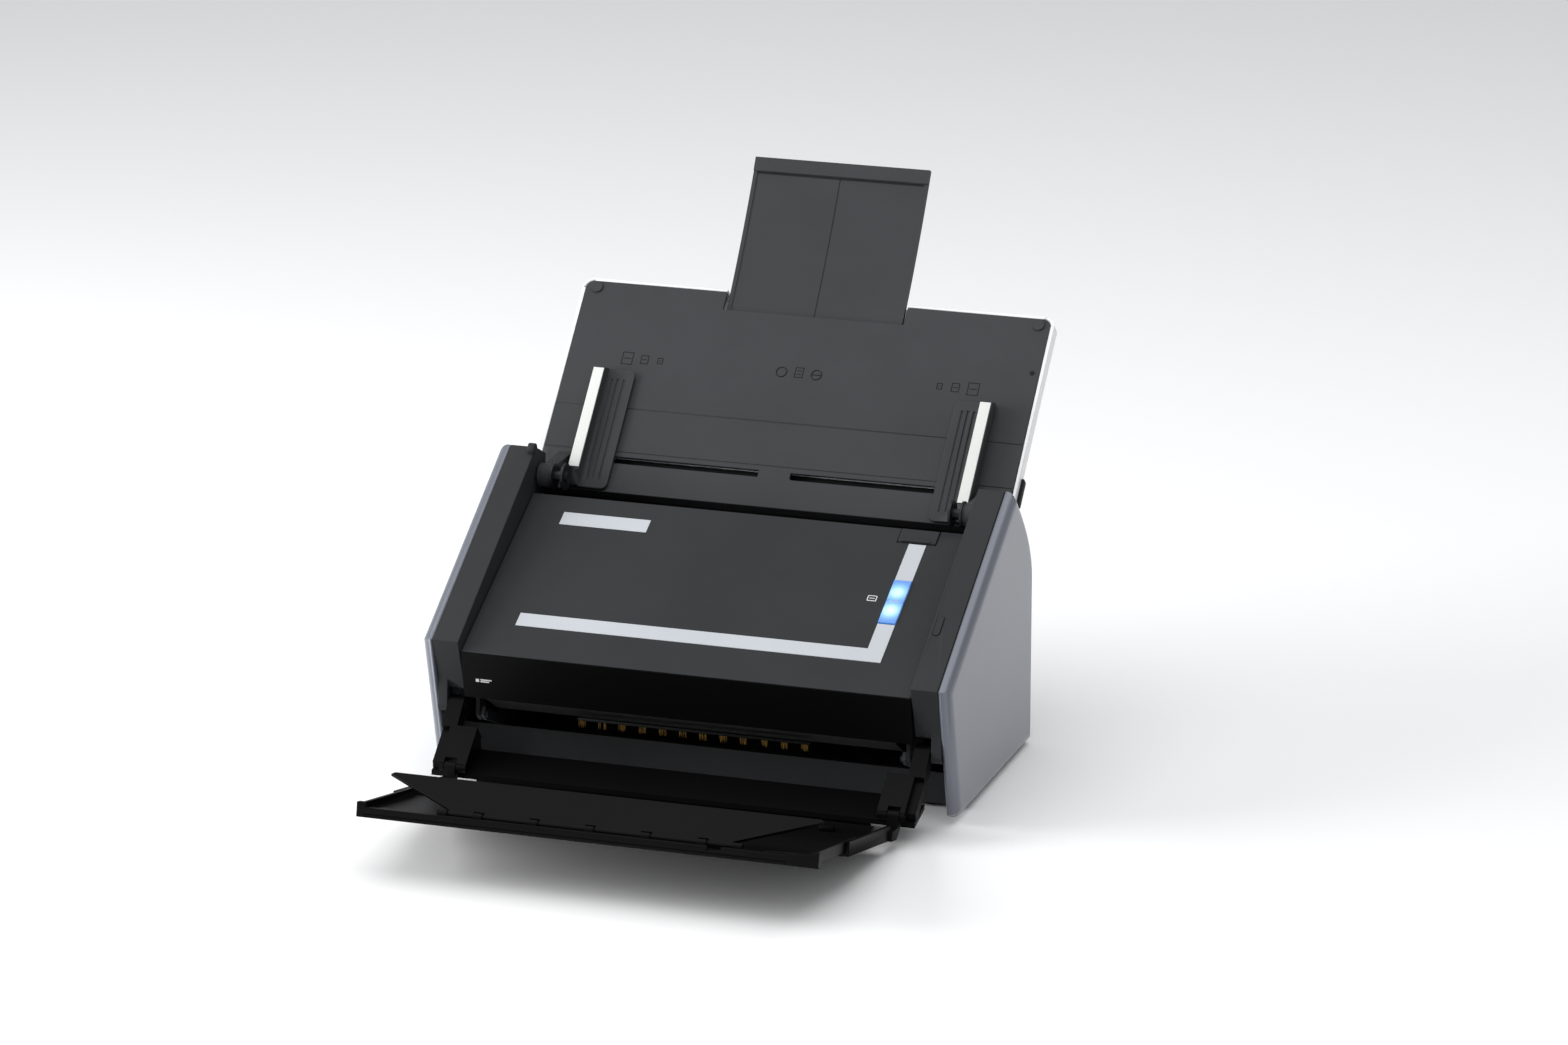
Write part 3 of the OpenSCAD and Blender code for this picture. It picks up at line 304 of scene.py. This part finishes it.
# %% Plastics, paint, metal and rubber
# Each line gives the colour, roughness, grain scale, grain depth in metres, grain strength and
# tone spread, and then whatever else differs from plain moulded plastic.
finishes = {
    "black_cover": solid_finish("black_cover", "#2a2b2d", 0.62, 2600.0, 0.00006, 0.35),
    "inner_black": solid_finish("inner_black", "#111213", 0.6, 2200.0, 0.00005, 0.3),
    "gloss_black": solid_finish("gloss_black", "#070708", 0.45, 3200.0, 0.00003, 0.2,
                                specular=0.08),
    "chute_grey": solid_finish("chute_grey", "#353638", 0.55, 2400.0, 0.00006, 0.35),
    "lid_white": solid_finish("lid_white", "#dfe0e1", 0.3, 1500.0, 0.00002, 0.1, 0.03, coat=0.4,
                              specular=0.5),
    "strip_white": solid_finish("strip_white", "#d6d8d4", 0.45, 1800.0, 0.00002, 0.15, 0.03,
                                specular=0.4),
    "trim_silver": solid_finish("trim_silver", "#bcc0c5", 0.42, 4200.0, 0.00002, 0.2, 0.06,
                                metallic=0.2),
    "side_paint": solid_finish("side_paint", "#6e727b", 0.36, 5200.0, 0.00002, 0.15, 0.04,
                               marks=0.03, metallic=0.35, coat=0.5),
    "frame_steel": solid_finish("frame_steel", "#46484b", 0.55, 900.0, 0.00002, 0.2, 0.12,
                                metallic=1.0, stretch=(1, 0.05, 1)),
    "pin_steel": solid_finish("pin_steel", "#37393b", 0.42, 1600.0, 0.00001, 0.1, 0.08,
                              metallic=0.8, stretch=(0.05, 1, 1)),
    "usb_metal": solid_finish("usb_metal", "#c6c8ca", 0.28, 1400.0, 0.00001, 0.1, 0.08,
                              metallic=1.0),
    "motor_case": solid_finish("motor_case", "#9a9da1", 0.38, 1200.0, 0.00002, 0.2, 0.1,
                               metallic=1.0),
    "brass": solid_finish("brass", "#c9a24a", 0.3, 1500.0, 0.00001, 0.15, 0.1, metallic=1.0),
    "nylon": solid_finish("nylon", "#c9c5b9", 0.5, 1500.0, 0.00003, 0.2, 0.05),
    "jack_black": solid_finish("jack_black", "#121213", 0.35, 2200.0, 0.00002, 0.2),
    "roller_rubber": solid_finish("roller_rubber", "#38383a", 0.8, 900.0, 0.0001, 0.5,
                                  stretch=(0.1, 1, 1)),
    "foot_rubber": solid_finish("foot_rubber", "#161616", 0.85, 1500.0, 0.0001, 0.5),
    "pad_rubber": solid_finish("pad_rubber", "#6a4c37", 0.85, 1100.0, 0.0001, 0.6, 0.4),
    "belt_rubber": solid_finish("belt_rubber", "#101010", 0.75, 1300.0, 0.0001, 0.5,
                                stretch=(0.1, 1, 1)),
    "board_green": solid_finish("board_green", "#1c5a34", 0.35, 600.0, 0.00003, 0.3, 0.45,
                                coat=0.5),
    "brush_gold": solid_finish("brush_gold", "#9a7a40", 0.45, 3000.0, 0.00002, 0.2, 0.5,
                               metallic=0.3),
}
print("solid finishes:", len(finishes))


# %% Clear glass and the lit button
def clear_glass():
    material = bpy.data.materials.new("scan_glass")
    material.use_nodes = True
    tree = material.node_tree
    shader = tree.nodes["Principled BSDF"]
    place = add_node(tree, "ShaderNodeTexCoord")
    dust = add_node(tree, "ShaderNodeTexNoise", {
        "Vector": place.outputs["Object"], "Scale": 260.0, "Detail": 6.0,
    })
    film = add_node(tree, "ShaderNodeMapRange", {
        "Value": dust.outputs["Fac"], "From Min": 0.5, "From Max": 0.8, "To Min": 0.02, "To Max": 0.12,
    })
    tree.links.new(film.outputs[0], shader.inputs["Roughness"])
    shader.inputs["Base Color"].default_value = (0.86, 0.95, 0.96, 1)
    shader.inputs["Transmission Weight"].default_value = 1.0
    shader.inputs["IOR"].default_value = 1.5
    return material


# How far each of the two glows reaches, in metres, and where they sit on half the button
GLOW_REACH = 0.009
GLOW_AT = 0.42


def lit_button(low, high):
    material = bpy.data.materials.new("button_blue")
    material.use_nodes = True
    tree = material.node_tree
    shader = tree.nodes["Principled BSDF"]
    middle = (low + high) / 2
    reach = (high - low) / 2
    place = add_node(tree, "ShaderNodeTexCoord")
    local = add_node(tree, "ShaderNodeVectorMath", {
        0: place.outputs["Object"], 1: middle,
    }, operation="SUBTRACT")
    glow = None
    for side in (-GLOW_AT, GLOW_AT):
        spot = Vector((-0.1 * reach.x, side * reach.y, side * reach.z * 0.7))
        gap = add_node(tree, "ShaderNodeVectorMath", {
            0: local.outputs[0], 1: spot,
        }, operation="DISTANCE")
        near = add_node(tree, "ShaderNodeMapRange", {
            "Value": gap.outputs["Value"], "From Min": 0.0, "From Max": GLOW_REACH,
            "To Min": 1.0, "To Max": 0.0,
        }, interpolation_type="SMOOTHSTEP")
        glow = near if glow is None else add_node(tree, "ShaderNodeMath", {
            0: glow.outputs[0], 1: near.outputs[0],
        }, operation="MAXIMUM")
    ramp = add_node(tree, "ShaderNodeValToRGB", {"Fac": glow.outputs[0]})
    ramp.color_ramp.elements[0].color = srgb("#3f73b6")
    ramp.color_ramp.elements[1].color = srgb("#bcdcf5")
    ramp.color_ramp.elements.new(0.45).color = srgb("#74a8de")
    tree.links.new(ramp.outputs[0], shader.inputs["Emission Color"])
    tree.links.new(ramp.outputs[0], shader.inputs["Base Color"])
    shader.inputs["Emission Strength"].default_value = 0.62
    shader.inputs["Roughness"].default_value = 0.25
    shader.inputs["Coat Weight"].default_value = 0.5
    return material


finishes["scan_glass"] = clear_glass()
finishes["button_blue"] = lit_button(*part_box("scan_button"))
for node, piece in frame["nodes"].items():
    piece.data.materials.clear()
    piece.data.materials.append(finishes[slot_of_node[node]])
print("every node has its own slot's finish")

# %% [markdown]
# ## Rounded moulded edges
# No moulded cover has a knife edge, and it is the thin bright line along each rounded edge
# that makes plastic look real. Each visible shell is copied from the working model, its loose
# triangles are merged, flat areas are joined, and its long outer edges are bevelled.
# The copy then stands for the node, and nothing moves.

# %% Round the long edges of a shell
MERGE_WITHIN = 0.000002
FLAT_WITHIN = math.radians(0.6)
SHELL_SMOOTH, TRIM_SMOOTH = 32, 40
RIM_ANGLE = 1.2


def long_outer_edges(bm, shortest, least_angle):
    chosen = []
    for edge in bm.edges:
        if not edge.is_manifold or edge.calc_length() < shortest:
            continue
        if edge.calc_face_angle_signed(0.0) > least_angle:
            chosen.append(edge)
    return chosen


def rounded_copy(node, radius, shortest, segments, least_angle):
    bm = bmesh.new()
    bm.from_mesh(frame["nodes"][node].data)
    bmesh.ops.remove_doubles(bm, verts=bm.verts, dist=MERGE_WITHIN)
    bmesh.ops.dissolve_limit(bm, angle_limit=FLAT_WITHIN, use_dissolve_boundaries=False,
                             verts=bm.verts, edges=bm.edges)
    edges = long_outer_edges(bm, shortest * mm, math.radians(least_angle))
    bmesh.ops.bevel(bm, geom=edges, offset=radius * mm, offset_type="OFFSET", affect="EDGES",
                    segments=segments, profile=0.5, material=-1, clamp_overlap=False, loop_slide=True)
    bmesh.ops.triangulate(bm, faces=[f for f in bm.faces if len(f.verts) > 4])
    open_edges = sum(1 for edge in bm.edges if not edge.is_manifold)
    piece = show_piece(bm, node + "_shell", body_of_node[node], finishes[slot_of_node[node]],
                       [node], SHELL_SMOOTH)
    soft = piece.modifiers.new("even_shading", "WEIGHTED_NORMAL")
    soft.keep_sharp = True
    print(f"{node}: {len(edges)} edges rounded to {radius} mm, {open_edges} open edges")


# %% Covers, panels and chute
# Edge radius and shortest edge in mm, segments, and the least angle in degrees that is rounded
SHELLS = {
    "left_side_panel": (1.4, 20, 4, 20), "right_side_panel": (1.4, 20, 4, 20),
    "left_bezel": (0.5, 14, 3, 25), "right_bezel": (0.5, 14, 3, 25),
    "cover_top": (0.5, 60, 3, 30), "cover_front": (0.4, 60, 3, 30),
    "chute_plate": (0.35, 60, 2, 30), "chute_shell": (0.5, 40, 3, 30),
    "extension": (0.3, 30, 2, 30), "rear_cover": (0.5, 80, 2, 30), "base_tray": (0.5, 80, 2, 30),
    "left_guide": (0.7, 10, 3, 30), "right_guide": (0.7, 10, 3, 30),
    "left_guide_strip": (0.2, 5, 2, 30), "right_guide_strip": (0.2, 5, 2, 30),
    "stacker_tray": (0.3, 25, 2, 30), "tray_extension": (0.4, 12, 2, 30),
    "stop_flap": (0.35, 10, 2, 30),
    "short_trim": (0.12, 5, 2, 30), "corner_trim": (0.12, 5, 2, 30), "upper_trim": (0.12, 5, 2, 30),
    "scan_button": (0.3, 5, 3, 30), "release_lever": (0.25, 9, 2, 30),
}
for node, (radius, shortest, segments, least_angle) in SHELLS.items():
    rounded_copy(node, radius, shortest, segments, least_angle)

# %% [markdown]
# ## Small parts on the faces
# The small trim is built from blocks, discs and rings, each made by a mesh operator straight
# in the frame of its face. Every piece rides the body it is fixed to, so it moves with it.

# %% Builders for small parts
def add_block(bm, place, x, y, z, radius, segments):
    size = Vector((x[1] - x[0], y[1] - y[0], z[1] - z[0])) * mm
    middle = Vector((x[0] + x[1], y[0] + y[1], z[0] + z[1])) * 0.5 * mm
    matrix = place @ Matrix.Translation(middle) @ Matrix.Diagonal((*size, 1))
    cube = bmesh.ops.create_cube(bm, size=1.0, matrix=matrix)
    edges = list({edge for vert in cube["verts"] for edge in vert.link_edges})
    bmesh.ops.bevel(bm, geom=edges, offset=radius * mm, offset_type="OFFSET", affect="EDGES",
                    segments=segments, profile=0.5, material=-1, clamp_overlap=True)


def add_disc(bm, place, x, y, z, radius, rim=0.2):
    matrix = place @ Matrix.Translation(Vector((x, y, (z[0] + z[1]) / 2)) * mm)
    disc = bmesh.ops.create_cone(bm, cap_ends=True, segments=32, radius1=radius * mm,
                                 radius2=radius * mm, depth=(z[1] - z[0]) * mm, matrix=matrix)
    edges = {edge for vert in disc["verts"] for edge in vert.link_edges}
    rims = [edge for edge in edges if edge.calc_face_angle(0) > RIM_ANGLE]
    bmesh.ops.bevel(bm, geom=rims, offset=rim * mm, offset_type="OFFSET", affect="EDGES",
                    segments=2, profile=0.5, material=-1, clamp_overlap=True)


def add_ring(bm, place, x, y, z, radius, tube):
    centre = place @ Matrix.Translation(Vector((x, y, z)) * mm)
    start = centre @ Matrix.Translation((radius * mm, 0, 0)) @ Matrix.Rotation(math.pi / 2, 4, "X")
    circle = bmesh.ops.create_circle(bm, cap_ends=False, segments=8, radius=tube * mm, matrix=start)
    verts = circle["verts"]
    edges = list({edge for vert in verts for edge in vert.link_edges})
    bmesh.ops.spin(bm, geom=verts + edges, cent=centre.translation, axis=centre.col[2].xyz,
                   angle=2 * math.pi, steps=36, use_merge=True)


PAGE_LINE = 0.5


def add_page(bm, place, x, y, width, height, rows, lift=(-0.1, 0.08)):
    line = PAGE_LINE
    left, right, low, top = x - width / 2, x + width / 2, y - height / 2, y + height / 2
    for bar_x, bar_y in (((left, right), (low, low + line)), ((left, right), (top - line, top)),
                         ((left, left + line), (low, top)), ((right - line, right), (low, top))):
        add_block(bm, place, bar_x, bar_y, lift, 0.03, 1)
    for row in range(rows):
        level = low + (row + 1) * height / (rows + 1)
        across = (left + 1.1, right - 1.1)
        add_block(bm, place, across, (level - line / 2, level + line / 2), lift, 0.03, 1)


def small_piece(name, body, slot, build, replaces=()):
    bm = bmesh.new()
    build(bm)
    bmesh.ops.recalc_face_normals(bm, faces=bm.faces)
    faces = len(bm.faces)
    show_piece(bm, name, body, finishes[slot], replaces, TRIM_SMOOTH)
    print(f"{name}: {faces} faces on {body}")

# %% [markdown]
# ## The chute
# Three groups of small raised marks show how paper is loaded. They are plain page outlines
# and rings. A dark liner lies behind the two guide slots, each lower corner has a bracket, and
# a dark apron on the body closes the view below the chute's foot.

# %% Marks, liner and brackets of the chute
# The chute's frame starts at the guide pinion, this far above the chute's foot. The extension
# runs on an arc, and its lip lies LIP_ARC along it.
PINION_UP = 22.2
MARKS_UP = 84.8 - PINION_UP
GROUP_X = 89
ARC_RADIUS = 600
LIP_ARC = 131.2


def chute_marks(bm):
    for side in (-1, 1):
        for offset, size in ((10, 6.5), (0, 4.6), (-9, 3.2)):
            add_page(bm, chute_face, side * (GROUP_X + offset), MARKS_UP, size, size * 1.2, 1)
    add_ring(bm, chute_face, -10, MARKS_UP, 0, 2.9, 0.3)
    add_page(bm, chute_face, 0, 85.4 - PINION_UP, 5, 6.4, 2)
    add_ring(bm, chute_face, 10, MARKS_UP, 0, 2.9, 0.3)
    add_block(bm, chute_face, (7.6, 12.4), (84.5 - PINION_UP, 85.1 - PINION_UP), (-0.1, 0.2), 0.1, 1)
    add_disc(bm, chute_face, 129.4, 97.7 - PINION_UP, (-0.1, 0.25), 1.4)


def slot_liner(bm):
    add_block(bm, chute_face, (-112, 112), (-3.6, 3.6), (-6.35, -6.0), 0.05, 1)


def chute_brackets(bm):
    for side in (-1, 1):
        across = sorted((side * 134, side * 137.4))
        add_block(bm, chute_face, across, (20 - PINION_UP, 36 - PINION_UP), (-8.9, -4), 0.8, 3)


arc_centre = Matrix.Translation(Vector(joints["extension_slide"]["pos_m"]))
chute_turn = chute_face.to_3x3().to_4x4()
lip_turn = Matrix.Rotation(LIP_ARC / ARC_RADIUS, 4, "X")
lip_face = arc_centre @ chute_turn @ lip_turn @ Matrix.Translation((0, 0, -ARC_RADIUS * mm))


# Painted shade: a thin dark strip along the extension's rolled lip stands in for the shade on the lip's curve.
def lip_painted_shade(bm):
    add_block(bm, lip_face, (-50.2, 50.2), (-1.1, 0.1), (-0.3, 0.12), 0.1, 1)


def foot_apron(bm):
    add_block(bm, Matrix.Identity(4), (-138.8, 138.8), (85, 87), (100, 119.5), 0.4, 2)


small_piece("lip_painted_shade", "extension", "inner_black", lip_painted_shade)
small_piece("foot_apron", "root", "inner_black", foot_apron)
small_piece("chute_marks", "chute", "inner_black", chute_marks)
small_piece("slot_liner", "chute", "inner_black", slot_liner)
small_piece("chute_brackets", "chute", "inner_black", chute_brackets)

# %% [markdown]
# ## The cover and the exit
# A small page icon marks the button, and a square and two bars stand in for the label on the
# front. Fine bristles in tufts hang at the exit to take the charge off the paper.

# %% Icons, crest stop and brush
def button_icon(bm):
    add_page(bm, cover_face, 83.5, 70.5, 5.2, 4.2, 1)


def front_label(bm):
    add_block(bm, label_face, (-4.5, -2.6), (-0.9, 0.9), (-0.1, 0.08), 0.03, 1)
    add_block(bm, label_face, (-1.8, 4.5), (0.2, 0.9), (-0.1, 0.08), 0.03, 1)
    add_block(bm, label_face, (-1.8, 3.0), (-0.9, -0.2), (-0.1, 0.08), 0.03, 1)


crest_spot = Matrix.Translation((-0.126, 0.0545, 0.1515)) @ Matrix.Rotation(math.pi / 2, 4, "Y")


def crest_stop(bm):
    add_disc(bm, crest_spot, 0, 0, (-2, 2), 3, 0.5)


brush_low, brush_high = (Vector(v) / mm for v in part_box("exit_brush"))
random.seed(4)
TUFTS, BRISTLES = 12, 24
TUFT_SPAN = 124


def brush_holder(bm):
    add_block(bm, Matrix.Identity(4), (brush_low.x, brush_high.x), (brush_low.y, brush_high.y),
              (brush_high.z - 1.4, brush_high.z), 0.2, 2)


def brush(bm):
    root_z, tip_z = brush_high.z - 1.3, brush_low.z
    middle_y = (brush_low.y + brush_high.y) / 2
    for tuft in range(TUFTS):
        for _ in range(BRISTLES):
            length = random.uniform(0.6, 1.0) * (root_z - tip_z)
            lean = Matrix.Rotation(random.uniform(-0.12, 0.12), 4, "Y")
            at_x = brush_low.x + tuft * TUFT_SPAN / (TUFTS - 1) + random.uniform(0, 4)
            root = Vector((at_x, middle_y + random.uniform(-0.4, 0.4), root_z)) * mm
            matrix = Matrix.Translation(root) @ lean @ Matrix.Translation((0, 0, -length / 2 * mm))
            bmesh.ops.create_cone(bm, cap_ends=True, segments=5, radius1=0.04 * mm, radius2=0.09 * mm,
                                  depth=length * mm, matrix=matrix)


button_low, button_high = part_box("scan_button")
button_at = cover_face.inverted() @ ((button_low + button_high) / 2) / mm
button_half = (button_high.x - button_low.x) / 2 / mm
button_verts = frame["nodes"]["scan_button"].data.vertices
button_top = max((cover_face.inverted() @ vert.co).z for vert in button_verts) / mm


def button_line(bm):
    reach = button_half - 1.5
    add_block(bm, cover_face, (button_at.x - reach, button_at.x + reach),
              (button_at.y - 0.2, button_at.y + 0.2), (button_top - 0.3, button_top + 0.04), 0.03, 1)


small_piece("button_icon", "feeder_cover", "strip_white", button_icon)
small_piece("front_label", "feeder_cover", "strip_white", front_label)
small_piece("crest_stop", "root", "black_cover", crest_stop)
small_piece("button_line", "scan_button", "trim_silver", button_line)
small_piece("brush_holder", body_of_node["exit_brush"], "inner_black", brush_holder)
small_piece("brush_tufts", body_of_node["exit_brush"], "brush_gold", brush, ["exit_brush"])

# %% [markdown]
# ## The stacker
# Small clips sit along the rear of the tray, and pads and a page outline lie near the front
# bar. In this frame a point that is o mm out along the tray has y = -o. A thin lip under the
# front edge of the base hides the gap above the floor.

# %% Clips, pads and outline
# Height of the pull-out end's floor in the tray's frame
END_FLOOR = -8.4


def tray_clips(bm):
    for x in (-90, -45, 0, 45, 90):
        add_block(bm, tray_face, (x - 4, x + 4), (-12.6, -9.6), (-10, -7.4), 0.5, 2)


def end_marks(bm):
    for side in (-1, 1):
        add_disc(bm, tray_face, side * 113, -119, (END_FLOOR - 0.1, END_FLOOR + 0.5), 2.6)
    add_page(bm, tray_face, 97, -116, 13, 6, 0, (END_FLOOR - 0.1, END_FLOOR + 0.12))


def base_lip(bm):
    pin = Vector(joints["tray_fold"]["pos_m"]) / mm
    add_block(bm, Matrix.Identity(4), (-109, 109), (pin.y + 1.5, pin.y + 2.5),
              (pin.z - 9.5, pin.z - 4.8), 0.2, 2)


small_piece("base_lip", "stacker", "gloss_black", base_lip)
small_piece("tray_clips", "tray", "gloss_black", tray_clips)
small_piece("end_marks", "tray_end", "black_cover", end_marks)
